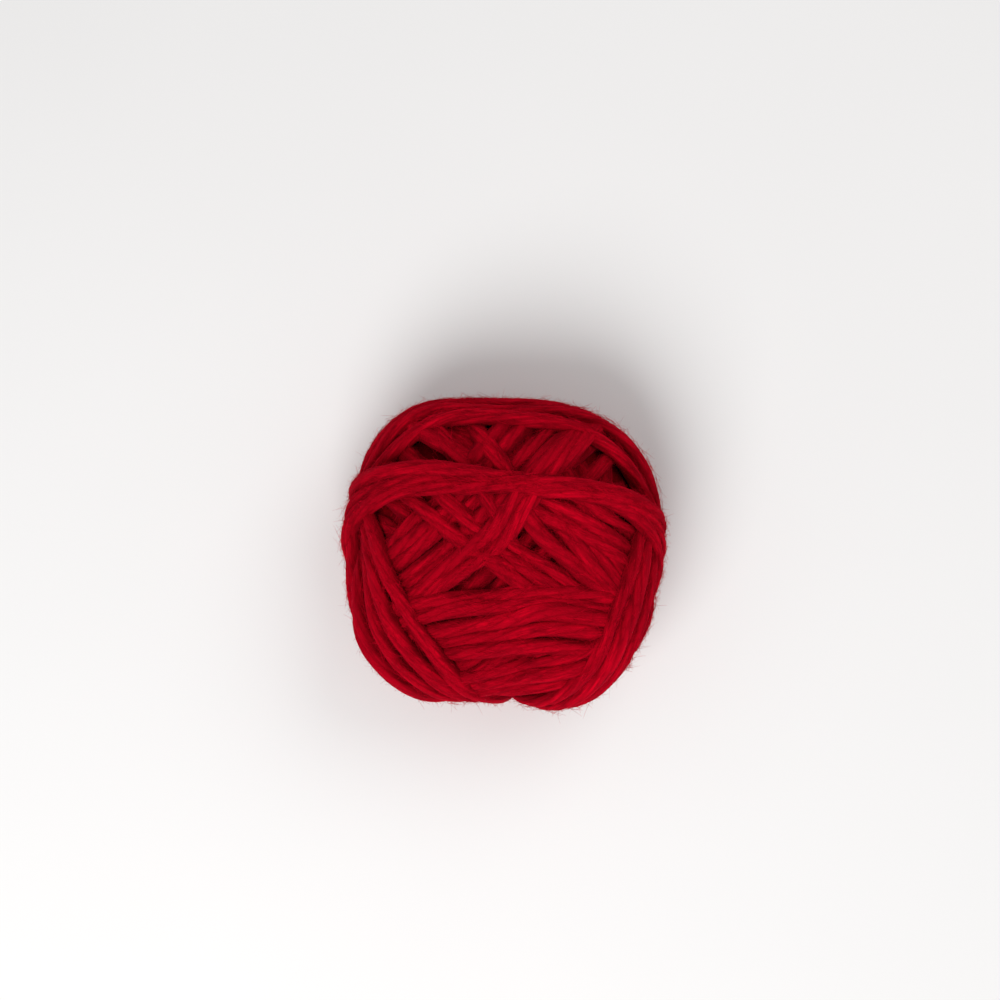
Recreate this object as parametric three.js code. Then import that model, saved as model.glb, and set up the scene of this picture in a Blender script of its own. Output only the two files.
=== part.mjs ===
// A flattened ball of chunky yarn, lying on its back.
// Millimetres. X runs to the right of its face, Y to the top of its face and Z up, through its thickness.
// The origin is the middle of the flat spot that it rests on.
// The ball is one solid: the wound form, with the main twists of the winding standing out as ridges.

import * as THREE from 'three';
import { mergeVertices } from 'three/addons/utils/BufferGeometryUtils.js';

// Overall sizes of the ball.
const ballWidth = 110;
const ballLength = 106;
const ballThickness = 62;

// The widest girth lies a little below half the thickness, where the ball sags on its flat spot.
const girthHeight = 29;
const crownHeight = ballThickness - girthHeight;
// The underside would reach this far below the girth if the flat spot didn't cut it off.
const bellyDepth = 32;
// How square the ball's side is: 2 is an ellipse, more is squarer.
const sideSquareness = 2.35;

// How far the outline of the face reaches from its middle, going round anticlockwise from the right.
const outline = [
  { azimuth: 0, reach: 54.6 },
  { azimuth: 20, reach: 56.0 },
  { azimuth: 40, reach: 57.8 },
  { azimuth: 60, reach: 56.5 },
  { azimuth: 80, reach: 52.2 },
  { azimuth: 100, reach: 53.2 },
  { azimuth: 120, reach: 58.3 },
  { azimuth: 140, reach: 58.6 },
  { azimuth: 160, reach: 56.5 },
  { azimuth: 180, reach: 54.5 },
  { azimuth: 200, reach: 54.5 },
  { azimuth: 220, reach: 58.0 },
  { azimuth: 240, reach: 54.5 },
  { azimuth: 260, reach: 47.5 },
  { azimuth: 278, reach: 50.0 },
  { azimuth: 295, reach: 56.8 },
  { azimuth: 312, reach: 55.3 },
  { azimuth: 330, reach: 52.8 },
  { azimuth: 345, reach: 51.8 },
];

// The yarn, and the twist: a pair of turns that lie close together and read as one ridge.
const strandWidth = 6;
const twistWidth = 2 * strandWidth;
// How far a twist's crest stands above the groove beside it.
const twistHeight = 3.2;
// How much higher each later bundle of turns lies than the one wound before it.
const layerRise = 0.25;
// A bundle covers the one below it fully this far inside its edge.
const edgeWidth = 2.5;
// The ball's weight presses the winding smooth underneath: the relief fades out between these
// two downward slopes, from 0 at the girth to 1 straight down.
const pressFrom = 0.45;
const pressTo = 0.85;

// The bundles of turns that show, from the first wound to the last.
// heading: the way the turns run across the face, in degrees above the right-hand side.
// tilt: how far their plane leans from upright, in degrees; a negative tilt bows the turns upward.
// middle: how far the bundle's middle plane passes from the ball's middle.
// twists: how many twists lie side by side.
const bundles = [
  { name: 'first wound', heading: 84, tilt: 4, middle: 0, twists: 12 },
  { name: 'back slope', heading: 78, tilt: 12, middle: -24, twists: 2 },
  { name: 'back cross', heading: -70, tilt: -20, middle: 24, twists: 2 },
  { name: 'falling slope', heading: -46, tilt: 4, middle: -3, twists: 4 },
  { name: 'rising slope', heading: 46, tilt: -2, middle: 0, twists: 4 },
  { name: 'lower bowl', heading: 28, tilt: 24, middle: -23, twists: 2 },
  { name: 'right slope', heading: -62, tilt: -12, middle: 25, twists: 2 },
  { name: 'upper left', heading: -31, tilt: -12, middle: 22, twists: 2 },
  { name: 'upper fan', heading: 38, tilt: -8, middle: 21, twists: 3 },
  { name: 'falling cross', heading: -47, tilt: 4, middle: 8, twists: 3 },
  { name: 'rising cross', heading: 42, tilt: -4, middle: 10, twists: 1 },
  { name: 'belt', heading: 2, tilt: -10, middle: -26, twists: 2 },
  { name: 'bottom rim', heading: 18, tilt: 58, middle: -8, twists: 2 },
  { name: 'lower right', heading: 62, tilt: 34, middle: -28, twists: 2 },
  { name: 'lower left', heading: -55, tilt: 33, middle: -30, twists: 2 },
  { name: 'top rim', heading: -4, tilt: -72, middle: 8, twists: 2 },
  { name: 'low arch', heading: -4, tilt: -38, middle: 1, twists: 1 },
  { name: 'high arch', heading: -4, tilt: -22, middle: 15, twists: 1 },
];

// Each of the 20 faces of the starting icosahedron is cut this many times along its edges.
const meshDetail = 21;
const yarnColour = 0xb3061c;

const fullTurn = 360;

// The reach of the outline at any azimuth, on a smooth curve through the rows of the table.
function outlineReach(azimuth) {
  const at = ((azimuth % fullTurn) + fullTurn) % fullTurn;
  const rows = outline.length;
  const row = outline.findLastIndex((entry) => entry.azimuth <= at);
  const before = outline[(row + rows - 1) % rows];
  const from = outline[row];
  const to = outline[(row + 1) % rows];
  const after = outline[(row + 2) % rows];
  const span = (to.azimuth - from.azimuth + fullTurn) % fullTurn;
  const part = (at - from.azimuth) / span;
  const leave = (to.reach - before.reach) / 2;
  const arrive = (after.reach - from.reach) / 2;
  const rise = to.reach - from.reach;
  return from.reach + part * (leave + part * (3 * rise - 2 * leave - arrive
    + part * (leave + arrive - 2 * rise)));
}

// The distance from the ball's middle to its smooth surface in a direction.
function smoothReach(direction) {
  const azimuth = THREE.MathUtils.radToDeg(Math.atan2(direction.y, direction.x));
  const level = Math.hypot(direction.x, direction.y) / outlineReach(azimuth);
  const depth = direction.z > 0 ? crownHeight : bellyDepth;
  const steep = Math.abs(direction.z) / depth;
  return (level ** sideSquareness + steep ** sideSquareness) ** (-1 / sideSquareness);
}

// The direction in which a bundle's plane faces.
function planeNormal(bundle) {
  const heading = THREE.MathUtils.degToRad(bundle.heading);
  const tilt = THREE.MathUtils.degToRad(bundle.tilt);
  return new THREE.Vector3(
    -Math.sin(heading) * Math.cos(tilt),
    Math.cos(heading) * Math.cos(tilt),
    Math.sin(tilt),
  );
}

// The winding's height above the smooth surface after one more bundle is wound over it.
function windOver(height, bundle, layer, point) {
  const across = planeNormal(bundle).dot(point) - bundle.middle;
  const halfWidth = bundle.twists * twistWidth / 2;
  const cover = THREE.MathUtils.smoothstep(halfWidth - Math.abs(across), 0, edgeWidth);
  const crest = Math.abs(Math.sin(Math.PI * (across + halfWidth) / twistWidth));
  return THREE.MathUtils.lerp(height, layer * layerRise + twistHeight * crest, cover);
}

// The height of the winding above the smooth surface: the last wound bundle is the one that shows.
function windingRelief(point) {
  return bundles.reduce((height, bundle, layer) => windOver(height, bundle, layer, point), 0);
}

// How far the ball's weight has pressed the winding smooth at a direction, from 0 to 1.
function pressedShare(direction) {
  return THREE.MathUtils.smoothstep(-direction.z, pressFrom, pressTo);
}

// A closed sphere of evenly spread triangles, with its shared vertices merged.
function evenSphere() {
  const sphere = new THREE.IcosahedronGeometry(1, meshDetail);
  sphere.deleteAttribute('normal');
  sphere.deleteAttribute('uv');
  return mergeVertices(sphere);
}

// Stretches the form to its overall sizes, stands it on the ground and cuts off the flat spot.
function fitToSize(position) {
  const box = new THREE.Box3().setFromBufferAttribute(position);
  const size = box.getSize(new THREE.Vector3());
  const middle = box.getCenter(new THREE.Vector3());
  const raise = crownHeight / box.max.z;
  const lower = bellyDepth / -box.min.z;
  for (let i = 0; i < position.count; i += 1) {
    const x = (position.getX(i) - middle.x) * ballWidth / size.x;
    const y = (position.getY(i) - middle.y) * ballLength / size.y;
    const z = position.getZ(i) * (position.getZ(i) > 0 ? raise : lower);
    position.setXYZ(i, x, y, Math.max(girthHeight + z, 0));
  }
}

// The ball's wound form as a closed mesh.
function woundForm() {
  const form = evenSphere();
  const position = form.getAttribute('position');
  const direction = new THREE.Vector3();
  const point = new THREE.Vector3();
  for (let i = 0; i < position.count; i += 1) {
    direction.fromBufferAttribute(position, i).normalize();
    point.copy(direction).multiplyScalar(smoothReach(direction));
    const relief = THREE.MathUtils.lerp(windingRelief(point), twistHeight, pressedShare(direction));
    point.addScaledVector(direction, relief);
    position.setXYZ(i, point.x, point.y, point.z);
  }
  fitToSize(position);
  form.computeVertexNormals();
  return form;
}

const yarn = new THREE.MeshStandardMaterial({ color: yarnColour, roughness: 0.95, metalness: 0 });

const ball = new THREE.Mesh(woundForm(), yarn);
ball.name = 'yarn_ball';

const part = new THREE.Group();
part.add(ball);

export default part;
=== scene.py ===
"""A flattened ball of soft chunky yarn: one strand, wound turn by turn into the CAD ball's shape.

Lengths are in metres and angles in degrees. X runs to the right of the ball's face, Y to its top
and Z up, through its thickness.
"""

import math
from typing import NamedTuple

import bmesh
import bpy
import numpy as np
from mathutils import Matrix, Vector, kdtree


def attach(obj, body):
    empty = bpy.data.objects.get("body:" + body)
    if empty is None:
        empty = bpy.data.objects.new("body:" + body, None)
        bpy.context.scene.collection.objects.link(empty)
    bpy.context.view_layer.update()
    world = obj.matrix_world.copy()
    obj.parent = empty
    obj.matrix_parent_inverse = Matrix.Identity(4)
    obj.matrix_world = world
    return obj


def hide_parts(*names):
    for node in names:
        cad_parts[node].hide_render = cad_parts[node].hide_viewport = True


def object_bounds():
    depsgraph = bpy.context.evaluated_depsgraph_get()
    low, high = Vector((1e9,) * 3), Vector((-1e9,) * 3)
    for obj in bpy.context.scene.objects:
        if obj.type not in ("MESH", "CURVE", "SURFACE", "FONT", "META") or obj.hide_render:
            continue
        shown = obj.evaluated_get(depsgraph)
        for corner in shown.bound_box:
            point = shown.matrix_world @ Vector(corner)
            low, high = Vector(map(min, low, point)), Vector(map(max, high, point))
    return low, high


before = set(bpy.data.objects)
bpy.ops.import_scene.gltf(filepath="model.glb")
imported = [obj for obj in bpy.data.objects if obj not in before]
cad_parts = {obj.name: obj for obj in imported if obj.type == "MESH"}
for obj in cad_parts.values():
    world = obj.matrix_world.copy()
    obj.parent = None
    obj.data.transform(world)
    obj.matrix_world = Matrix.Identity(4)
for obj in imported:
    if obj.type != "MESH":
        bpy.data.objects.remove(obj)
cad_low, cad_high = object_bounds()

# The ball, from the CAD model's box.
BALL_WIDTH = cad_high.x - cad_low.x
BALL_THICKNESS = cad_high.z - cad_low.z
# The widest girth lies a little below half the thickness.
GIRTH_HEIGHT = 0.029
CROWN_HEIGHT = BALL_THICKNESS - GIRTH_HEIGHT
# The underside would reach this far below the girth if the flat spot didn't cut it off.
BELLY_DEPTH = 0.032
# How square the ball's side is: 2 is an ellipse, more is squarer.
SIDE_SQUARENESS = 2.35

# The yarn.
STRAND_RADIUS = 0.0029
# How thick one layer of turns is: soft strands sink into each other where they cross.
LAYER_THICKNESS = 0.0031
# Turns closer together than this climb on each other.
CONTACT_WIDTH = 0.0044
# The strand is worked out at points this far apart.
STEP = 0.0018

SEED = 7


class OutlinePoint(NamedTuple):
    """A point of the outline of the ball's face."""

    azimuth: float  # anticlockwise from the right
    reach: float  # from the ball's middle


OUTLINE = [
    OutlinePoint(0, 0.0546),
    OutlinePoint(20, 0.0560),
    OutlinePoint(40, 0.0578),
    OutlinePoint(60, 0.0565),
    OutlinePoint(80, 0.0522),
    OutlinePoint(100, 0.0532),
    OutlinePoint(120, 0.0583),
    OutlinePoint(140, 0.0586),
    OutlinePoint(160, 0.0565),
    OutlinePoint(180, 0.0545),
    OutlinePoint(200, 0.0545),
    OutlinePoint(220, 0.0580),
    OutlinePoint(240, 0.0545),
    OutlinePoint(260, 0.0475),
    OutlinePoint(278, 0.0500),
    OutlinePoint(295, 0.0568),
    OutlinePoint(312, 0.0553),
    OutlinePoint(330, 0.0528),
    OutlinePoint(345, 0.0518),
]


class Bundle(NamedTuple):
    """Turns wound side by side before the winder turns the ball to a new way."""

    name: str
    heading: float  # the way the turns run across the face, above the right-hand side
    tilt: float  # how far their plane leans from upright; negative bows the turns upward
    middle: float  # how far the bundle's middle plane passes from the ball's middle
    turns: int
    pitch: float  # from one turn to the next
    fan: float  # how far each turn swings from the one before it
    lean: float = 0  # how much less each turn's plane tilts than the one before it


# The bundles, from the first wound to the last.
BUNDLES = [
    Bundle("first wound", 84, 4, 0.000, 14, 0.0054, 0),
    Bundle("back slope", 78, 12, -0.018, 4, 0.0045, 0),
    Bundle("back cross", -70, -20, 0.018, 4, 0.0045, 0),
    Bundle("falling slope", -46, 4, -0.002, 5, 0.0086, -1),
    Bundle("rising slope", 46, -2, 0.000, 5, 0.0088, 2),
    Bundle("lower bowl", 28, 24, -0.017, 4, 0.0045, 0),
    Bundle("right slope", -62, -12, 0.0185, 3, 0.0046, -3),
    Bundle("upper left", -31, -12, 0.0165, 3, 0.0046, 3),
    Bundle("upper fan", 38, -8, 0.0155, 5, 0.0048, 2),
    Bundle("falling cross", -47, 4, 0.0065, 4, 0.0082, -4.5),
    Bundle("rising cross", 42, -4, 0.0075, 2, 0.0075, -6),
    Bundle("belt", 2, -10, -0.0195, 5, 0.0034, 0.5),
    Bundle("bottom rim", 18, 58, -0.006, 3, 0.0044, 0),
    Bundle("lower right", 62, 34, -0.021, 3, 0.0044, 0),
    Bundle("lower left", -55, 33, -0.022, 4, 0.0044, -2),
    Bundle("top rim", -4, -72, 0.0060, 4, 0.0042, 0),
    Bundle("arch", -4, -37, 0.0064, 3, -0.0073, 0, -13),
]

# A bell curve is cut off this many of its spreads from its middle.
BELL_REACH = 3


def unit(vectors):
    """The vectors with a length of 1."""
    return vectors / np.linalg.norm(vectors, axis=-1, keepdims=True)


def between(first, second, share):
    """What lies this share of the way from first to second."""
    return (1 - share) * first + share * second


def eased(share):
    """A share that starts and ends slowly."""
    return share * share * (3 - 2 * share)


def bell(spread):
    """The offsets that a blur takes in, in steps, and their weights: a bell of this spread."""
    offsets = np.arange(-BELL_REACH * spread, BELL_REACH * spread + 1)
    return offsets, np.exp(-0.5 * (offsets / spread) ** 2)


def circular_blur(values, spread):
    """values blurred round a circle."""
    offsets, weights = bell(spread)
    rolled = [weight * np.roll(values, offset) for weight, offset in zip(weights, offsets)]
    return np.sum(rolled, axis=0) / weights.sum()


def blurred(values, spread):
    """values blurred along the strand, with its ends held."""
    _, weights = bell(spread)
    padded = np.pad(values, BELL_REACH * spread, mode="edge")
    return np.convolve(padded, weights / weights.sum(), mode="valid")


# A full turn, in degrees.
FULL_TURN = 360
# The outline is rounded over this many degrees, for the finished rim and for the core.
RIM_ROUNDING = 5
CORE_ROUNDING = 16


def smooth_outline(spread):
    """The outline's reach at each whole degree, on a closed curve smoothed over a few degrees."""
    azimuths = [point.azimuth for point in OUTLINE]
    reaches = [point.reach for point in OUTLINE]
    reach = np.interp(np.arange(FULL_TURN), azimuths, reaches, period=FULL_TURN)
    return circular_blur(reach, spread)


RIM_OUTLINE = smooth_outline(RIM_ROUNDING)
CORE_OUTLINE = smooth_outline(CORE_ROUNDING)


def ball_reach(directions):
    """How far the smooth ball's surface lies from its middle."""
    azimuth = np.degrees(np.arctan2(directions[:, 1], directions[:, 0]))
    outline = np.interp(azimuth, np.arange(FULL_TURN), CORE_OUTLINE, period=FULL_TURN)
    level = np.hypot(directions[:, 0], directions[:, 1]) / outline
    depth = np.where(directions[:, 2] > 0, CROWN_HEIGHT, BELLY_DEPTH)
    steep = np.abs(directions[:, 2]) / depth
    return (level**SIDE_SQUARENESS + steep**SIDE_SQUARENESS) ** (-1 / SIDE_SQUARENESS)


# The reach of a winding is probed in this many directions, each with the yarn this many degrees
# round it.
PROBES = 1200
PROBE_SPREAD = 6
GOLDEN_ANGLE = math.pi * (3 - math.sqrt(5))


def even_directions(count):
    """Directions spread evenly all round, on a spiral from straight down to straight up."""
    share = (np.arange(count) + 0.5) / count
    height = 2 * share - 1
    level = np.sqrt(1 - height**2)
    azimuth = np.arange(count) * GOLDEN_ANGLE
    return np.stack([level * np.cos(azimuth), level * np.sin(azimuth), height], axis=1)


def probed(places):
    """Directions all round, and how far the outermost of the places near each of them reaches."""
    probes = even_directions(PROBES)
    reach = np.linalg.norm(places, axis=1)
    near = (places / reach[:, None]) @ probes.T > math.cos(math.radians(PROBE_SPREAD))
    return probes, np.where(near, reach[:, None], 0).max(axis=0)


def averaged(values, probes, directions, spread):
    """The probes' values averaged round each direction, with a bell of this spread in degrees."""
    sharpness = 1 / math.radians(spread) ** 2
    weight = np.exp(sharpness * (directions @ probes.T - 1))
    return (weight @ values) / weight.sum(axis=1)


# The core is shaped so that the ball comes out at its size: the strand is wound this many times,
# and after each time the core is cut back by the thickness that the yarn took.
TRIALS = 3
# The thickness taken at first, and the least and the most that a trial may give.
FIRST_THICKNESS = 0.0150
LEAST_THICKNESS = 0.010
MOST_THICKNESS = 0.0175
# The thickness is averaged over this many degrees.
THICKNESS_SPREAD = 20
# A place on the core is found by halving its range this many times.
HALVINGS = 20
# The core's slope is taken between points this far to either side.
NUDGE = 0.001


class Winding:
    """How thick the yarn lies on the core, in every direction from the ball's middle.

    The thickness is kept at the nodes of a grid of azimuths and elevations.
    """

    azimuths = 48
    elevations = 25

    def __init__(self):
        azimuth = np.arange(self.azimuths) / self.azimuths * 2 * np.pi
        elevation = np.linspace(-np.pi / 2, np.pi / 2, self.elevations)
        raised, turned = np.meshgrid(elevation, azimuth, indexing="ij")
        level = np.cos(raised)
        nodes = [level * np.cos(turned), level * np.sin(turned), np.sin(raised)]
        self.nodes = np.stack(nodes, axis=2).reshape(-1, 3)
        self.thickness = np.full((self.elevations, self.azimuths), FIRST_THICKNESS)

    def towards(self, directions):
        """The thickness in each direction, between the nodes of the grid."""
        azimuth = np.arctan2(directions[:, 1], directions[:, 0]) / (2 * np.pi) * self.azimuths
        sine = np.clip(directions[:, 2], -1, 1)
        elevation = (np.arcsin(sine) / np.pi + 0.5) * (self.elevations - 1)
        left, low = np.floor(azimuth).astype(int), np.floor(elevation).astype(int)
        low = low.clip(0, self.elevations - 2)
        right_share, up_share = azimuth - left, elevation - low
        left, right = left % self.azimuths, (left + 1) % self.azimuths
        lower = between(self.thickness[low, left], self.thickness[low, right], right_share)
        upper = between(self.thickness[low + 1, left], self.thickness[low + 1, right], right_share)
        return between(lower, upper, up_share)

    def core_reach(self, directions):
        """How far the core's surface lies from the ball's middle."""
        return ball_reach(directions) - self.towards(directions)

    def measure(self, places):
        """Takes the thickness from a wound strand."""
        probes, outermost = probed(places)
        thick = outermost + STRAND_RADIUS - self.core_reach(probes)
        level = averaged(thick, probes, self.nodes, THICKNESS_SPREAD)
        level = level.clip(LEAST_THICKNESS, MOST_THICKNESS)
        self.thickness = level.reshape(self.elevations, self.azimuths)

    def core_points(self, centres, directions):
        """Where rays from inside the core leave it."""
        low = np.zeros(len(centres))
        high = np.full(len(centres), BALL_WIDTH)
        for _ in range(HALVINGS):
            middle = (low + high) / 2
            inside = self.core_level(centres + middle[:, None] * directions) < 1
            low = np.where(inside, middle, low)
            high = np.where(inside, high, middle)
        return centres + low[:, None] * directions

    def core_level(self, points):
        """1 on the core, less inside it and more outside."""
        distance = np.linalg.norm(points, axis=1)
        return distance / self.core_reach(points / distance[:, None])

    def core_normals(self, points):
        """The way the core's surface faces at each point."""
        slopes = [
            self.core_level(points + NUDGE * axis) - self.core_level(points - NUDGE * axis)
            for axis in np.eye(3)
        ]
        return unit(np.stack(slopes, axis=1))


# The winding's plane is given for each of this many steps of a turn.
STEPS_A_TURN = 180
# From one bundle to the next the plane swings round, over this many steps before the change and as
# many after it. The change comes early or late by a random number of steps, up to the spread.
SWING_STEPS = 32
SWING_SPREAD = 20
# The winder's hand wanders this far aside, in waves of these numbers of steps. Each wave is at
# least this share of its full height.
WANDER = 0.0009
WANDER_WAVES = (35, 61, 97, 160)
LEAST_WAVE = 0.5
DOWN = np.array([0.0, 0.0, -1.0])


def bundle_planes(bundle):
    """The winding's plane at each step of a bundle: its normal and its distance from the middle."""
    count = bundle.turns * STEPS_A_TURN
    part = np.linspace(1, -1, count) * (bundle.turns - 1) / 2
    heading = np.radians(bundle.heading + bundle.fan * part)
    tilt = np.radians(bundle.tilt + bundle.lean * part)
    level = [-np.sin(heading) * np.cos(tilt), np.cos(heading) * np.cos(tilt)]
    half = (bundle.turns - 1) / 2 * bundle.pitch
    middle = np.linspace(bundle.middle + half, bundle.middle - half, count)
    return np.column_stack([*level, np.sin(tilt), middle])


def wander(chance, count):
    """How far the winder's hand wanders aside at each step, in slow random waves."""
    steps = np.arange(count)
    aside = np.zeros(count)
    for wave in WANDER_WAVES:
        aside += np.sin(2 * np.pi * (steps / wave + chance.random())) * chance.uniform(LEAST_WAVE, 1)
    return WANDER * aside / len(WANDER_WAVES) ** 0.5


def travel():
    """The winding's plane at each step: its normal, its distance from the middle and its bundle.

    Each bundle starts and ends underneath, where the plane swings round to the next one.
    """
    chance = np.random.default_rng(SEED)
    parts = []
    for bundle in BUNDLES:
        part = bundle_planes(bundle)
        if parts and parts[-1][-1, :3] @ part[0, :3] < 0:
            part = -part
        parts.append(part)
    counts = [len(part) for part in parts]
    planes = np.concatenate(parts)
    changes = np.cumsum(counts)[:-1]
    changes += chance.integers(-SWING_SPREAD, SWING_SPREAD + 1, len(changes))
    share = eased((np.arange(2 * SWING_STEPS) + 0.5) / (2 * SWING_STEPS))[:, None]
    for change in changes:
        first, last = change - SWING_STEPS, change + SWING_STEPS
        planes[first:last] = between(planes[first], planes[last], share)
    middles = planes[:, 3] + wander(chance, len(planes))
    return unit(planes[:, :3]), middles, np.repeat(np.arange(len(BUNDLES)), counts)


def base_route(winding, normals, middles, bundles):
    """The strand's route on the core: its points, the way the core faces and the bundle."""
    phase = (2 * np.pi / STEPS_A_TURN * np.arange(len(normals)))[:, None]
    lowest = unit(DOWN - (normals @ DOWN)[:, None] * normals)
    directions = np.cos(phase) * lowest + np.sin(phase) * np.cross(normals, lowest)
    points = winding.core_points(normals * middles[:, None], directions)
    along = np.concatenate([[0], np.cumsum(np.linalg.norm(np.diff(points, axis=0), axis=1))])
    wanted = np.arange(0, along[-1], STEP)
    even = np.stack([np.interp(wanted, along, column) for column in points.T], axis=1)
    bundle = bundles[np.searchsorted(along, wanted).clip(0, len(bundles) - 1)]
    return even, winding.core_normals(even), bundle


# The strand is laid in stretches of this many points, each with this many on either side.
STRETCH = 50
MARGIN = 24
# Points this close behind on the strand don't count as another turn.
OWN_POINTS = 10
# Straight spans over a dip are tried with these numbers of points before and after each point.
SPANS = (1, 2, 3, 4, 6, 8, 11, 14, 18)
# How far the strand follows the straight span, and how far the dip, and then its height is blurred
# over this many points.
TAUT_SHARE = 0.8
SLACK_SHARE = 0.2
HEIGHT_BLUR = 2
# How close turns come is worked out at this height above the core.
USUAL_HEIGHT = 0.014
# The centre line of a strand on the bare core lies this high: it is pressed a little flat there.
LYING_HEIGHT = 0.8 * STRAND_RADIUS
# A strand rises no more than this above the yarn that lies this near.
MOST_RISE = 0.0042
NEIGHBOURHOOD = 0.010


def supports(points, heights, first, last):
    """How high the yarn laid so far lifts each point from first to last, and how high it can.

    A strand that would ride high on a heap of crossings sinks into it instead.
    """
    if first == 0:
        lying = np.full(last, LYING_HEIGHT)
        return lying, lying
    gap_squared = ((points[first:last, None] - points[None, :first]) ** 2).sum(axis=2)
    order = np.arange(first, last)[:, None] - np.arange(first)[None]
    another = order > OWN_POINTS
    touching = (gap_squared < CONTACT_WIDTH**2) & another
    dome = LAYER_THICKNESS * np.sqrt(np.clip(1 - gap_squared / CONTACT_WIDTH**2, 0, 1))
    lifted = np.where(touching, heights[None, :first] + dome, 0)
    around = np.where((gap_squared < NEIGHBOURHOOD**2) & another, heights[None, :first], 0)
    surface = (around**2).sum(axis=1) / np.maximum(around.sum(axis=1), STRAND_RADIUS)
    return np.maximum(lifted.max(axis=1), LYING_HEIGHT), surface + MOST_RISE


def pulled_taut(points, normals, heights):
    """The heights once the strand is pulled straight over each dip."""
    best = heights.copy()
    places = points + heights[:, None] * normals
    count = len(points)
    for before in SPANS:
        for after in SPANS:
            if before + after >= count:
                break
            inner = slice(before, count - after)
            start = places[: count - before - after]
            end = places[before + after :]
            chord = between(start, end, before / (before + after))
            rise = ((chord - points[inner]) * normals[inner]).sum(axis=1)
            best[inner] = np.maximum(best[inner], rise)
    return best


def lay_strand(points, normals):
    """How high above the core each point of the strand comes to lie, turn on turn."""
    heights = np.zeros(len(points))
    usual = points + USUAL_HEIGHT * normals
    for first in range(0, len(points), STRETCH):
        last = min(first + STRETCH, len(points))
        look = min(last + MARGIN, len(points))
        back = max(first - MARGIN, 0)
        lifted, highest = supports(usual, heights, first, look)
        near = np.concatenate([heights[back:first], lifted])
        taut = pulled_taut(points[back:look], normals[back:look], near)
        soft = TAUT_SHARE * taut + SLACK_SHARE * near
        soft[first - back :] = np.minimum(soft[first - back :], highest)
        heights[first:last] = blurred(soft, HEIGHT_BLUR)[first - back : last - back]
    return heights


# The rim is fitted to the outline in sectors of this many degrees, blurred over this many sectors.
SECTOR = 5
SECTOR_BLUR = 2
# Deep inside, all places are scaled alike. The fit to the outline comes in towards the rim, with
# this power of the share of the way out.
RIM_POWER = 4
# The strand's bends are softened over this many steps.
SOFTENING = 3


def fit_to_outline(places):
    """The wound places spread or drawn in so that the rim follows the ball's outline."""
    azimuth = np.degrees(np.arctan2(places[:, 1], places[:, 0])) % FULL_TURN
    sector = (azimuth // SECTOR).astype(int)
    reach = np.hypot(places[:, 0], places[:, 1]) + STRAND_RADIUS
    widest = np.zeros(FULL_TURN // SECTOR)
    np.maximum.at(widest, sector, reach)
    widest = circular_blur(widest, SECTOR_BLUR)
    middles = np.arange(len(widest)) * SECTOR + SECTOR / 2
    wanted = RIM_OUTLINE[SECTOR // 2 :: SECTOR]
    scale = np.interp(azimuth, middles, wanted / widest, period=FULL_TURN)
    overall = scale.mean()
    near_rim = (reach / widest[sector]).clip(0, 1) ** RIM_POWER
    fitted = places.copy()
    fitted[:, :2] *= (overall + (scale - overall) * near_rim)[:, None]
    return fitted


def fit_to_ball(places):
    """The wound places pressed into the ball's outline and box, flat underneath."""
    fitted = fit_to_outline(places)
    up = fitted[:, 2] > 0
    fitted[up, 2] *= (CROWN_HEIGHT - STRAND_RADIUS) / fitted[:, 2].max()
    fitted[:, 2] = np.maximum(fitted[:, 2] + GIRTH_HEIGHT, STRAND_RADIUS)
    softened = np.stack([blurred(column, SOFTENING) for column in fitted.T], axis=1)
    low, high = np.array(cad_low) + STRAND_RADIUS, np.array(cad_high) - STRAND_RADIUS
    lowest, highest = softened.min(axis=0), softened.max(axis=0)
    return low + (softened - lowest) / (highest - lowest) * (high - low)


class Strand(NamedTuple):
    """The wound strand, point by point."""

    centres: np.ndarray
    across: np.ndarray  # to its side, along the core
    upward: np.ndarray  # away from the core
    bundles: np.ndarray  # which row of BUNDLES it belongs to


def wound_strand():
    """The strand as it lies in the ball."""
    winding = Winding()
    plan = travel()
    for trial in range(TRIALS):
        points, normals, bundles = base_route(winding, *plan)
        heights = lay_strand(points, normals)
        places = points + heights[:, None] * normals
        if trial < TRIALS - 1:
            winding.measure(places)
    centres = fit_to_ball(places)
    along = unit(np.gradient(centres, axis=0))
    across = unit(np.cross(along, normals))
    upward = np.cross(across, along)
    return Strand(centres, across, upward, bundles)


class Drift(NamedTuple):
    """A slow random change along the strand."""

    size: float  # its standard deviation
    spread: int  # it is smooth over this many points


# The centre line of the soft strand strays from its course, to the side and, less far, up and down.
STRAY_ASIDE = Drift(0.00055, 4)
STRAY_UP = Drift(0.6 * STRAY_ASIDE.size, 4)
# The strand and each ply swell and shrink, and the crevices get deeper and shallower, by these
# shares. The twist runs ahead and falls behind by this angle in radians.
STRAND_SWELL = Drift(0.08, 9)
PLY_SWELL = Drift(0.08, 6)
CREVICE_CHANGE = Drift(0.4, 8)
TWIST_CHANGE = Drift(0.35, 14)


def drifting(chance, count, drift):
    """The values of a drift at each point of the strand."""
    rough = blurred(chance.standard_normal(count), drift.spread)
    return drift.size * (rough / rough.std())


def strayed(chance, strand):
    """The strand with its centre line straying a little from side to side and up and down."""
    count = len(strand.centres)
    aside = drifting(chance, count, STRAY_ASIDE)[:, None] * strand.across
    lift = drifting(chance, count, STRAY_UP)[:, None] * strand.upward
    return strand._replace(centres=strand.centres + aside + lift)


# Tables of every pair of the strand's points are made in this many parts, to spare memory.
PARTS = 16
# Turns this near shade the ones that lie deeper. The yarn's light falls to about a third this
# far down a strand's own side, and this far below the turns around it.
SHADING_WIDTH = 0.008
SIDE_FADE = 0.0017
LAYER_FADE = 0.0044
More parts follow.
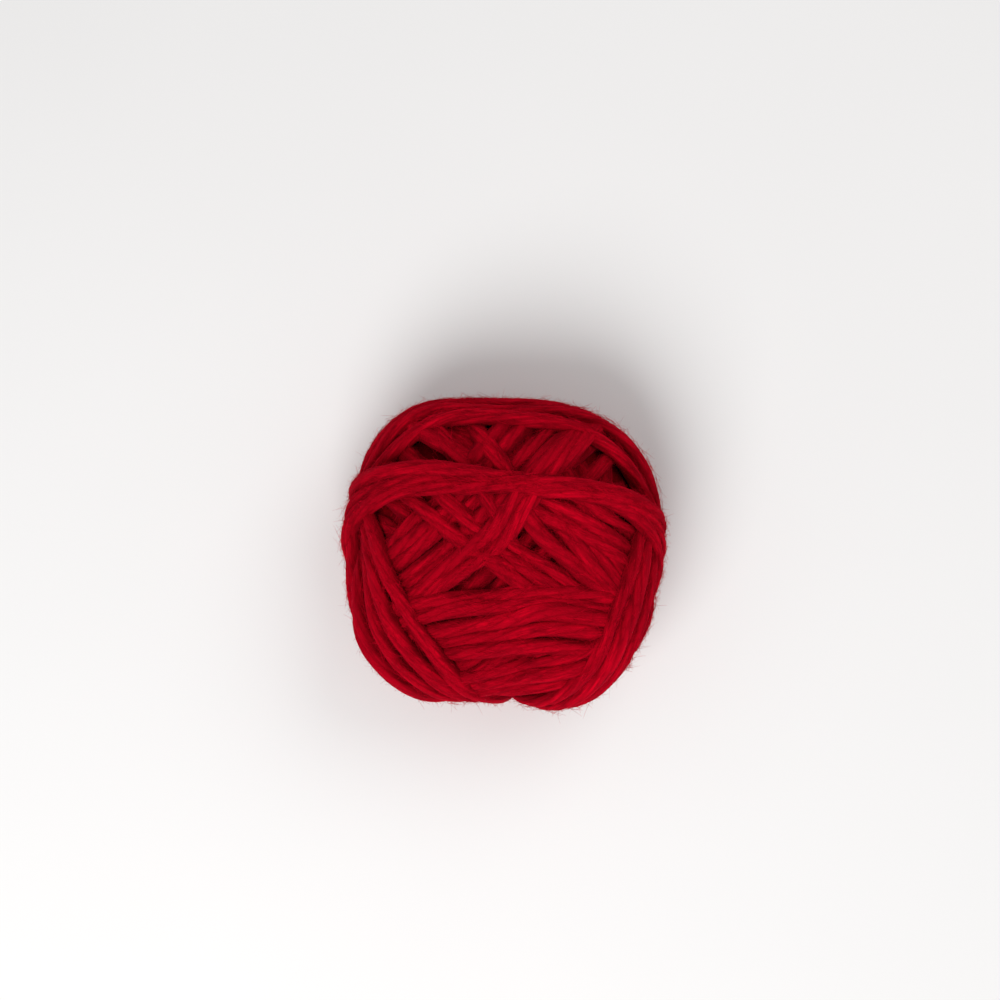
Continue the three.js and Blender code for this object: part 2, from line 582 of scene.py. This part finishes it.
# A side fades in full where the next turn's centre line comes this near to where it would lie if
# the two touched, and only by the open share where it lies farther off than this.
TOUCHING = 0.0020
APART = 0.0048
OPEN_SHARE = 0.35
# The shade is blurred over this many points of the strand.
SHADE_BLUR = 2


class Shade(NamedTuple):
    """What keeps the light from each point of the strand."""

    buried: np.ndarray  # how far it lies below the turns around it
    plus_cover: np.ndarray  # how closely a turn lies against its side, from 0 to 1
    minus_cover: np.ndarray


def heights_and_gaps(strand):
    """How far all the strand's points lie above each one and, squared, to its side, in parts."""
    places, upward = strand.centres, strand.upward
    squares = (places**2).sum(axis=1)
    for part in np.array_split(np.arange(len(places)), PARTS):
        height = upward[part] @ places.T - (upward[part] * places[part]).sum(axis=1)[:, None]
        gap_squared = squares[part][:, None] + squares[None] - 2 * places[part] @ places.T
        yield part, height, gap_squared - height**2


def buried_depths(strand):
    """How far each point of the strand lies below the turns around it."""
    depths = np.zeros(len(strand.centres))
    for part, height, aside_squared in heights_and_gaps(strand):
        nearness = np.clip(1 - aside_squared / SHADING_WIDTH**2, 0, 1)
        depths[part] = (height * nearness).max(axis=1)
    return blurred(depths, SHADE_BLUR)


def covered_sides(strand):
    """How closely other turns lie against each point's two sides, from 0 to 1: plus, then minus."""
    turns = kdtree.KDTree(len(strand.centres))
    for number, centre in enumerate(strand.centres):
        turns.insert(centre, number)
    turns.balance()
    covers = []
    for side in (1, -1):
        beside = strand.centres + side * 2 * STRAND_RADIUS * strand.across
        distance = np.array([gap for _, _, gap in map(turns.find, beside)])
        cover = ((APART - distance) / (APART - TOUCHING)).clip(0, 1)
        covers.append(blurred(cover, SHADE_BLUR))
    return covers


def light_at(shade, points, angle):
    """The share of light left at points of the strand, at an angle up from their plus side."""
    cover = np.where(np.cos(angle) > 0, shade.plus_cover[points], shade.minus_cover[points])
    down = STRAND_RADIUS * (1 - np.sin(angle)) * (OPEN_SHARE + (1 - OPEN_SHARE) * cover)
    return np.exp(-shade.buried[points] / LAYER_FADE - down / SIDE_FADE)


# The plies of the strand.
PLIES = 6
SIDES_A_PLY = 4
SIDES = PLIES * SIDES_A_PLY
# The plies go once round the strand in this length, and the crevices between them are this deep.
TWIST_LENGTH = 0.058
CREVICE_DEPTH = 0.00024
# A strand is pressed a little flat on the ones below it: its height and width are these shares of
# what they would be if it were round.
FLATTENING = 0.92
WIDENING = 1.08
# At its two ends the strand tapers over this length, to this share of its radius.
TAPER_LENGTH = 0.010
TAPERED_SHARE = 0.06
# The fibres lean this share of the way that the plies do.
FIBRE_LEAN = 0.5
# The material's space is squeezed to this share along the strand, which draws the streaks out.
STREAK_SQUEEZE = 0.07


class Surface(NamedTuple):
    """The strand's surface: a ring of vertices round each point of its centre line."""

    rings: np.ndarray
    crest: np.ndarray  # 1 along the top of a ply and 0 in the crevice between two
    light: np.ndarray  # 1 in the open, and less where other turns or its own strand shade a vertex
    straight: np.ndarray  # where each vertex would be if the strand lay straight


def ply_radius(chance, length, crest):
    """How far each vertex lies from the centre line, at each length along it."""
    count = len(length)
    swell = 1 + drifting(chance, count, STRAND_SWELL)
    ply_swell = [1 + drifting(chance, count, PLY_SWELL) for _ in range(PLIES)]
    ply_swell = np.repeat(np.stack(ply_swell, axis=1), SIDES_A_PLY, axis=1)
    crevice = CREVICE_DEPTH * (1 + drifting(chance, count, CREVICE_CHANGE))
    taper = (np.minimum(length, length[-1] - length) / TAPER_LENGTH).clip(TAPERED_SHARE, 1)
    radius = STRAND_RADIUS * swell[:, None] * ply_swell - crevice[:, None] * (1 - crest)
    return radius * taper[:, None]


def ply_surface(chance, strand, shade):
    """The surface of the plies, twisted round the centre line."""
    count = len(strand.centres)
    length = np.arange(count) * STEP
    side = np.arange(SIDES)
    crest = np.abs(np.sin(np.pi * side / SIDES_A_PLY))
    radius = ply_radius(chance, length, crest)
    twist = 2 * np.pi * length / TWIST_LENGTH + drifting(chance, count, TWIST_CHANGE)
    around = 2 * np.pi * side / SIDES
    turned = around + twist[:, None]
    aside = WIDENING * (radius * np.cos(turned))[:, :, None] * strand.across[:, None]
    lift = FLATTENING * (radius * np.sin(turned))[:, :, None] * strand.upward[:, None]
    rings = strand.centres[:, None] + aside + lift
    rings[:, :, 2] = np.maximum(rings[:, :, 2], 0)

    fibre_turn = around + (1 - FIBRE_LEAN) * twist[:, None]
    squeezed = np.broadcast_to(STREAK_SQUEEZE * length[:, None], fibre_turn.shape)
    section = [STRAND_RADIUS * np.cos(fibre_turn), STRAND_RADIUS * np.sin(fibre_turn)]
    straight = np.stack([*section, squeezed], axis=2)
    light = light_at(shade, np.arange(count)[:, None], turned)
    return Surface(rings, np.tile(crest, (count, 1)), light, straight)


def ring_quads(rings, sides):
    """The quads between neighbouring rings of vertices, facing outward."""
    ring = np.arange(rings - 1)[:, None] * sides
    side = np.arange(sides)[None]
    beside = (side + 1) % sides
    quads = [ring + side, ring + sides + side, ring + sides + beside, ring + beside]
    return np.stack(quads, axis=2).reshape(-1, 4)


# The name of a mesh's bake map. Each patch of it keeps this share of its room clear all round.
BAKE_MAP = "OFBake"
PATCH_MARGIN = 0.04


def patch_corners(column, row, columns, rows):
    """The corners of quads laid out as a grid that fills a patch, inside its margin."""
    left, low = column / columns, row / rows
    right, high = (column + 1) / columns, (row + 1) / rows
    corners = [np.stack([left, low], -1), np.stack([right, low], -1)]
    corners += [np.stack([right, high], -1), np.stack([left, high], -1)]
    return PATCH_MARGIN + (1 - 2 * PATCH_MARGIN) * np.stack(corners, axis=-2)


def ribbon_map(rings):
    """Bake map of a strand: its skin as a ribbon, cut into rows that lie above each other."""
    steps = rings - 1
    rows = max(1, round(math.sqrt(steps * STEP / (2 * math.pi * STRAND_RADIUS))))
    steps_a_row = math.ceil(steps / rows)
    step, side = np.meshgrid(np.arange(steps), np.arange(SIDES), indexing="ij")
    corners = patch_corners(step % steps_a_row, side, steps_a_row, SIDES)
    corners[..., 1] = (corners[..., 1] + (step // steps_a_row)[..., None]) / rows
    return corners.reshape(-1, 4, 2)


def linked(name, data):
    """A new object in the scene."""
    made = bpy.data.objects.new(name, data)
    bpy.context.scene.collection.objects.link(made)
    return made


def mesh_object(name, verts, quads, material, bake_map=None, values=None):
    """A smooth mesh from arrays: vertices, quads, the quads' bake map and values at the vertices."""
    mesh = bpy.data.meshes.new(name)
    mesh.vertices.add(len(verts))
    mesh.vertices.foreach_set("co", verts.astype(np.float32).ravel())
    mesh.loops.add(quads.size)
    mesh.loops.foreach_set("vertex_index", quads.astype(np.int32).ravel())
    mesh.polygons.add(len(quads))
    starts = np.arange(0, quads.size, quads.shape[1], dtype=np.int32)
    mesh.polygons.foreach_set("loop_start", starts)
    mesh.polygons.foreach_set("use_smooth", np.ones(len(quads), bool))
    mesh.update(calc_edges=True)
    if bake_map is not None:
        layer = mesh.uv_layers.new(name=BAKE_MAP)
        layer.data.foreach_set("uv", bake_map.astype(np.float32).ravel())
    for value_name, value in (values or {}).items():
        kind, field = ("FLOAT_VECTOR", "vector") if value.ndim == 2 else ("FLOAT", "value")
        stored = mesh.attributes.new(value_name, kind, "POINT")
        stored.data.foreach_set(field, value.astype(np.float32).ravel())
    mesh.materials.append(material)
    return linked(name, mesh)


def as_yarn(piece):
    """Attaches a piece to the root body and hides the CAD ball's yarn part, whose place it takes."""
    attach(piece, "root")
    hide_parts("yarn_ball")


def add_turns(strand, surface, material):
    """One piece for each bundle of turns, each ending on the ring where the next one starts."""
    for row, bundle in enumerate(BUNDLES):
        own = np.flatnonzero(strand.bundles == row)
        part = slice(own[0], min(own[-1] + 2, len(strand.centres)))
        rings = surface.rings[part]
        values = {
            "crest": surface.crest[part].ravel(),
            "light": surface.light[part].ravel(),
            "straight_place": surface.straight[part].reshape(-1, 3),
        }
        name = "turns_" + bundle.name.replace(" ", "_")
        quads = ring_quads(len(rings), SIDES)
        as_yarn(mesh_object(name, rings.reshape(-1, 3), quads, material, ribbon_map(len(rings)), values))


# The inner turns are a closed form this far below the outermost centre lines, whose reach is
# averaged over this many degrees. Its mesh is an icosphere with this many subdivisions.
INNER_DEPTH = 0.0050
INNER_SPREAD = 7
INNER_CUTS = 5


def add_inner_turns(strand, material):
    """The inner turns, which show only as a dark ground in the deepest gaps: their dark red is painted
    shade.
    """
    middle = np.array([0, 0, GIRTH_HEIGHT])
    probes, outermost = probed(strand.centres - middle)
    mesh = bpy.data.meshes.new("inner_turns")
    form = bmesh.new()
    bmesh.ops.create_icosphere(form, subdivisions=INNER_CUTS, radius=1)
    directions = unit(np.array([vert.co for vert in form.verts]))
    reach = averaged(outermost, probes, directions, INNER_SPREAD) - INNER_DEPTH
    for vert, place in zip(form.verts, middle + directions * reach[:, None]):
        vert.co = place
    for face in form.faces:
        face.smooth = True
    form.to_mesh(mesh)
    form.free()
    mesh.materials.append(material)
    as_yarn(linked("inner_turns", mesh))


class Fuzz(NamedTuple):
    """One kind of fibre that stands off the strand."""

    name: str
    count: int
    rings: int  # how many rings of vertices each fibre has
    radius: float
    shortest: float
    longest: float
    least_lift: float  # how steeply it leaves the strand
    most_lift: float
    swerve: float  # how far it bends aside, as a share of its length


FUZZ = [
    Fuzz("wisps", 20000, 4, 0.000065, 0.0025, 0.0065, 1, 12, 0.30),
    Fuzz("short_flyaways", 34000, 2, 0.000040, 0.0008, 0.0024, 10, 65, 0.60),
    Fuzz("long_flyaways", 250, 4, 0.000026, 0.0022, 0.0045, 10, 45, 0.60),
]
# A fibre's section, and the share of its radius that is left at its tip.
FIBRE_SIDES = 3
FIBRE_TIP = 0.35
# Fibres grow on the upper side of the strand, between these angles up from its plus side, and start
# this far from its centre line.
FIRST_ROOT = 10
LAST_ROOT = 170
ROOT_REACH = 0.95 * STRAND_RADIUS
# How far a fibre sinks towards the strand, as a share of its length.
LEAST_DROOP = -0.05
MOST_DROOP = 0.25
# The tip of a fibre is painted with this share of the light that its root lacks.
TIP_GLOW = 0.7
# A fibre's direction with its coordinates moved round and this added to each points off the fibre's
# line, and so gives the fibre a side.
SKEW = 0.3
# The fibres of one kind are joined in pieces of at most this many.
MOST_FIBRES = 8000
# A strand shows where no other one lies this far above it within this distance to its side.
COVER_HEIGHT = 0.0030
COVER_WIDTH = 0.0028


def showing(strand):
    """The numbers of the points of the strand that nothing lies over."""
    shown = []
    for part, height, aside_squared in heights_and_gaps(strand):
        over = (height > COVER_HEIGHT) & (aside_squared < COVER_WIDTH**2)
        shown.append(part[~over.any(axis=1)])
    return np.concatenate(shown)


def fibre_paths(chance, strand, shown, shade, fuzz):
    """The centre lines of one kind of fibre, and the light on them, both from root to tip."""
    count = fuzz.count
    along = unit(np.gradient(strand.centres, axis=0))
    root = chance.choice(shown, count)
    angle = np.radians(chance.uniform(FIRST_ROOT, LAST_ROOT, count))
    root_light = light_at(shade, root, angle)[:, None]
    angle = angle[:, None]
    outward = np.cos(angle) * strand.across[root] + np.sin(angle) * strand.upward[root]
    sideways = np.cross(along[root], outward)
    lift = np.radians(chance.uniform(fuzz.least_lift, fuzz.most_lift, count))[:, None]
    length = chance.uniform(fuzz.shortest, fuzz.longest, count)[:, None]
    onward = chance.choice([-1.0, 1.0], count)[:, None] * along[root]
    slant = chance.normal(0, fuzz.swerve, count)[:, None]
    swerve = chance.normal(0, fuzz.swerve, count)[:, None]
    droop = chance.uniform(LEAST_DROOP, MOST_DROOP, count)[:, None]
    start = strand.centres[root] + ROOT_REACH * outward
    shares = np.linspace(0, 1, fuzz.rings)
    paths = []
    for share in shares:
        ahead = np.cos(lift) * share * onward + np.sin(lift) * share * outward
        bent = (slant * share + swerve * share**2) * sideways - droop * share**2 * outward
        paths.append(start + length * (ahead + bent))
    return np.stack(paths, axis=1), root_light + TIP_GLOW * shares * (1 - root_light)


def fibre_surface(paths, thickness):
    """Tapered rings of vertices round the fibres' centre lines."""
    along = unit(np.gradient(paths, axis=1))
    aside = unit(np.cross(along, np.roll(along, 1, axis=2) + SKEW))
    upward = np.cross(along, aside)
    turn = (2 * np.pi * np.arange(FIBRE_SIDES) / FIBRE_SIDES)[None, None, :, None]
    radius = (thickness * np.linspace(1, FIBRE_TIP, paths.shape[1]))[None, :, None, None]
    around = np.cos(turn) * aside[:, :, None] - np.sin(turn) * upward[:, :, None]
    rings = paths[:, :, None] + radius * around
    rings[..., 2] = np.maximum(rings[..., 2], thickness)
    return rings


def fibre_map(count, steps):
    """Bake map of the fuzz: each fibre's skin in a cell of its own."""
    cells = math.ceil(math.sqrt(count))
    numbers = (np.arange(count), np.arange(steps), np.arange(FIBRE_SIDES))
    fibre, step, side = np.meshgrid(*numbers, indexing="ij")
    corners = patch_corners(step, side, steps, FIBRE_SIDES)
    cell = np.stack([fibre % cells, fibre // cells], axis=-1)[..., None, :]
    return ((corners + cell) / cells).reshape(-1, 4, 2)


def add_fuzz(chance, strand, shown, shade, fuzz, material):
    """One kind of fibre all over the strand where it shows, in a few joined pieces."""
    paths, light = fibre_paths(chance, strand, shown, shade, fuzz)
    surface = fibre_surface(paths, fuzz.radius)
    verts_each = fuzz.rings * FIBRE_SIDES
    pieces = math.ceil(fuzz.count / MOST_FIBRES)
    for part, own in enumerate(np.array_split(np.arange(fuzz.count), pieces)):
        first = np.arange(len(own))[:, None, None] * verts_each
        quads = (first + ring_quads(fuzz.rings, FIBRE_SIDES)[None]).reshape(-1, 4)
        values = {"light": np.repeat(light[own].ravel(), FIBRE_SIDES)}
        bake_map = fibre_map(len(own), fuzz.rings - 1)
        verts = surface[own].reshape(-1, 3)
        as_yarn(mesh_object(f"{fuzz.name}_{part + 1}", verts, quads, material, bake_map, values))


# The yarn's reds, and the other colours.
BRIGHT_RED = (0.73, 0.0005, 0.016, 1)
DEEP_RED = (0.38, 0.0003, 0.009, 1)
# Painted shade: the yarn's red made dark where crevices, covering turns and the strand's own sides would
# shade it.
PAINTED_SHADE_RED = (0.11, 0.0001, 0.0024, 1)
TUFT_RED = (0.24, 0.0002, 0.006, 1)
FUZZ_RED = (0.78, 0.0012, 0.022, 1)
# Painted shade: the inner turns' red made dark for the shade of the outer turns.
INSIDE_SHADE_RED = (0.14, 0.0002, 0.002, 1)
SHEEN_TINT = (1.0, 0.01, 0.05, 1)
FLOOR_GREY = (0.90, 0.89, 0.885, 1)
FLOOR_WHITE = (0.93, 0.92, 0.915, 1)
WHITE = (1, 1, 1, 1)

# What the shaders of all the materials have in common.
SPECULAR = 0.02
SHEEN_ROUGHNESS = 0.45


class Noise(NamedTuple):
    """A noise in a material."""

    scale: float  # its waves in a metre
    detail: float  # how many times finer waves are added to them
    roughness: float = 0.6  # how strong the finer waves are


class Bump(NamedTuple):
    """How deep the bumps of a surface look."""

    depth: float
    strength: float


# The noises in the yarn. Colours change over a span of a noise's values, from its low to its high.
STREAKS = Noise(1500, 4, 0.7)
STREAK_SPAN = (0.34, 0.66)
BROAD_STREAKS = Noise(300, 2)
BROAD_SPAN = (0.30, 0.75)
PATCHES = Noise(38, 2)
PATCH_SPAN = (0.42, 0.80)
# Tufts are short streaks: this many times shorter than the others. Their noise times the shade is
# added to the painted light, so that the painted shadows look ragged.
TUFTS = Noise(520, 4, 0.65)
TUFT_SPAN = (0.42, 0.74)
TUFT_SHORTNESS = 4
TUFT_SHADE = -0.8
# The painted crevice shade passes into the ply's red over this span of crest, and the painted shade
# into the open yarn's red over this span of light.
CREST_SPAN = (-1, 0.8)
LIGHT_SPAN = (-0.42, 0.44)
YARN_BUMP = Bump(0.0006, 0.8)

FUZZ_CHANGE = Noise(400, 1)
FUZZ_SPAN = (0.3, 0.7)
INNER_STRANDS = Noise(260, 3)
INNER_SPAN = (0.35, 0.65)
INNER_BUMP = Bump(0.002, 1)
FLOOR_CHANGE = Noise(6, 2)

# A mix node has sockets for several kinds of value: these are the numbers of its colour sockets.
FIRST_COLOUR = 6
SECOND_COLOUR = 7
MIXED_COLOUR = 2


def new_material(name, roughness, sheen):
    """A material with a matt, sheeny shader, and its node tree and shader."""
    material = bpy.data.materials.new(name)
    material.use_nodes = True
    shader = material.node_tree.nodes["Principled BSDF"]
    shader.inputs["Roughness"].default_value = roughness
    shader.inputs["Specular IOR Level"].default_value = SPECULAR
    shader.inputs["Sheen Weight"].default_value = sheen
    shader.inputs["Sheen Roughness"].default_value = SHEEN_ROUGHNESS
    shader.inputs["Sheen Tint"].default_value = SHEEN_TINT
    return material, material.node_tree, shader


def feed(tree, value, slot):
    """Links a socket to a node's input, or sets the input to a number, vector or colour."""
    if isinstance(value, bpy.types.NodeSocket):
        tree.links.new(value, slot)
    else:
        slot.default_value = value


def attribute(tree, name, output="Fac"):
    """The value of this name that a mesh has at its vertices, as a socket."""
    node = tree.nodes.new("ShaderNodeAttribute")
    node.attribute_name = name
    return node.outputs[output]


def place_on_object(tree):
    """The place on the object, as a socket."""
    return tree.nodes.new("ShaderNodeTexCoord").outputs["Object"]


def noise(tree, place, kind):
    """A noise value from 0 to 1, as a socket."""
    node = tree.nodes.new("ShaderNodeTexNoise")
    node.inputs["Scale"].default_value = kind.scale
    node.inputs["Detail"].default_value = kind.detail
    node.inputs["Roughness"].default_value = kind.roughness
    tree.links.new(place, node.inputs["Vector"])
    return node.outputs["Fac"]


def stretched(tree, value, span):
    """value with the span's low made 0 and its high made 1, as a socket."""
    low, high = span
    node = tree.nodes.new("ShaderNodeMapRange")
    node.interpolation_type = "SMOOTHSTEP"
    node.inputs["From Min"].default_value = low
    node.inputs["From Max"].default_value = high
    tree.links.new(value, node.inputs["Value"])
    return node.outputs["Result"]


def mixed(tree, share, first, second):
    """Two colours mixed by a share, as a socket. Each is a colour or a socket."""
    node = tree.nodes.new("ShaderNodeMix")
    node.data_type = "RGBA"
    tree.links.new(share, node.inputs["Factor"])
    feed(tree, first, node.inputs[FIRST_COLOUR])
    feed(tree, second, node.inputs[SECOND_COLOUR])
    return node.outputs[MIXED_COLOUR]


def worked_out(tree, kind, operation, *values):
    """The result of an operation on values or sockets, by a node of this kind, as a socket."""
    node = tree.nodes.new(kind)
    node.operation = operation
    for value, slot in zip(values, node.inputs):
        feed(tree, value, slot)
    return node.outputs[0]


def bumped(tree, shader, height, bump):
    """Gives the shader a bumpy surface, from a height."""
    node = tree.nodes.new("ShaderNodeBump")
    node.inputs["Distance"].default_value = bump.depth
    node.inputs["Strength"].default_value = bump.strength
    tree.links.new(height, node.inputs["Height"])
    tree.links.new(node.outputs["Normal"], shader.inputs["Normal"])


def yarn_material():
    """Brushed yarn: streaks and tufts of fibres along the strand, with shade painted dark red in the
    crevices and on covered turns.
    """
    material, tree, shader = new_material("yarn", roughness=0.9, sheen=0.35)
    straight = attribute(tree, "straight_place", "Vector")
    shortened = worked_out(tree, "ShaderNodeVectorMath", "MULTIPLY", straight, (1, 1, TUFT_SHORTNESS))
    streaks = noise(tree, straight, STREAKS)
    broad = noise(tree, straight, BROAD_STREAKS)
    patches = noise(tree, place_on_object(tree), PATCHES)
    tufts = noise(tree, shortened, TUFTS)
    crest = stretched(tree, attribute(tree, "crest"), CREST_SPAN)
    light = attribute(tree, "light")
    ragged_light = worked_out(tree, "ShaderNodeMath", "MULTIPLY_ADD", tufts, TUFT_SHADE, light)

    colour = mixed(tree, stretched(tree, streaks, STREAK_SPAN), DEEP_RED, BRIGHT_RED)
    colour = mixed(tree, stretched(tree, broad, BROAD_SPAN), colour, DEEP_RED)
    colour = mixed(tree, stretched(tree, patches, PATCH_SPAN), colour, DEEP_RED)
    colour = mixed(tree, stretched(tree, tufts, TUFT_SPAN), colour, TUFT_RED)
    # Painted shade in the crevices between the plies.
    colour = mixed(tree, crest, PAINTED_SHADE_RED, colour)
    # Painted shade on the strand's sides and on turns that others cover, made ragged by the tufts.
    colour = mixed(tree, stretched(tree, ragged_light, LIGHT_SPAN), PAINTED_SHADE_RED, colour)
    tree.links.new(colour, shader.inputs["Base Color"])
    bumped(tree, shader, worked_out(tree, "ShaderNodeMath", "ADD", streaks, tufts), YARN_BUMP)
    return material


def fuzz_material():
    """The loose fibres, with painted shade at their roots that gives way to painted light towards their
    tips.
    """
    material, tree, shader = new_material("yarn_fuzz", roughness=0.8, sheen=0.3)
    change = noise(tree, place_on_object(tree), FUZZ_CHANGE)
    fibre = mixed(tree, stretched(tree, change, FUZZ_SPAN), DEEP_RED, FUZZ_RED)
    # Painted shade at the fibre's root, giving way to painted light towards its tip.
    colour = mixed(tree, attribute(tree, "light"), PAINTED_SHADE_RED, fibre)
    tree.links.new(colour, shader.inputs["Base Color"])
    return material


def inside_material():
    """The inner turns, painted dark red for the shade of the outer ones, mottled and bumpy."""
    material, tree, shader = new_material("yarn_inside", roughness=0.95, sheen=0)
    strands = noise(tree, place_on_object(tree), INNER_STRANDS)
    colour = mixed(tree, stretched(tree, strands, INNER_SPAN), PAINTED_SHADE_RED, INSIDE_SHADE_RED)
    tree.links.new(colour, shader.inputs["Base Color"])
    bumped(tree, shader, strands, INNER_BUMP)
    return material


def floor_material():
    """The plain pale surface that the ball lies on."""
    material, tree, shader = new_material("surface", roughness=0.8, sheen=0)
    change = noise(tree, place_on_object(tree), FLOOR_CHANGE)
    tree.links.new(mixed(tree, change, FLOOR_GREY, FLOOR_WHITE), shader.inputs["Base Color"])
    return material


# The photograph is this many pixels across, and the ball in it this many.
PHOTO_WIDTH = 1000
BALL_IN_PHOTO = 327
PIXEL = BALL_WIDTH / BALL_IN_PHOTO
# How far the ball's middle lies from the photograph's, in its pixels: to the right, and down.
BALL_ASIDE = 4.5
BALL_BELOW = 54.5
CAMERA_HEIGHT = 1.2
SENSOR_MM = 36


def add_camera():
    """The camera looks straight down, so that the ball lies in the frame as in the photograph."""
    data = bpy.data.cameras.new("camera")
    data.sensor_width = SENSOR_MM
    data.lens = SENSOR_MM * (CAMERA_HEIGHT - GIRTH_HEIGHT) / (PHOTO_WIDTH * PIXEL)
    made = linked("camera", data)
    made.location = (-BALL_ASIDE * PIXEL, BALL_BELOW * PIXEL, CAMERA_HEIGHT)
    bpy.context.scene.camera = made


class Light(NamedTuple):
    """A round soft light that shines on the ball."""

    name: str
    place: tuple
    size: float  # across
    power: float  # in watts


LIGHTS = [
    Light("key", (-0.25, -0.60, 0.85), 0.8, 8),
    Light("fill", (0.5, 0.5, 0.8), 0.8, 2.5),
]
SKY_STRENGTH = 0.38
# The floor reaches this far to each side.
FLOOR_REACH = 3


def add_light(light):
    """Adds a light, turned towards the ball."""
    data = bpy.data.lights.new(light.name, "AREA")
    data.shape = "DISK"
    data.size = light.size
    data.energy = light.power
    made = linked(light.name, data)
    made.location = light.place
    made.rotation_mode = "QUATERNION"
    made.rotation_quaternion = (-Vector(light.place)).to_track_quat("-Z", "Y")


def add_surroundings():
    """Even light from all round, and the surface below."""
    world = bpy.data.worlds.new("studio")
    world.use_nodes = True
    background = world.node_tree.nodes["Background"]
    background.inputs["Color"].default_value = WHITE
    background.inputs["Strength"].default_value = SKY_STRENGTH
    bpy.context.scene.world = world
    bpy.context.scene.view_settings.view_transform = "Standard"
    corners = FLOOR_REACH * np.array([[-1, -1, 0], [1, -1, 0], [1, 1, 0], [-1, 1, 0]])
    floor = mesh_object("floor", corners, np.array([[0, 1, 2, 3]]), floor_material())


add_camera()
for light in LIGHTS:
    add_light(light)
add_surroundings()

strand = wound_strand()
chance = np.random.default_rng(SEED)
strand = strayed(chance, strand)
add_inner_turns(strand, inside_material())
shade = Shade(buried_depths(strand), *covered_sides(strand))
add_turns(strand, ply_surface(chance, strand, shade), yarn_material())
shown = showing(strand)
loose_fibres = fuzz_material()
for fuzz in FUZZ:
    add_fuzz(chance, strand, shown, shade, fuzz, loose_fibres)
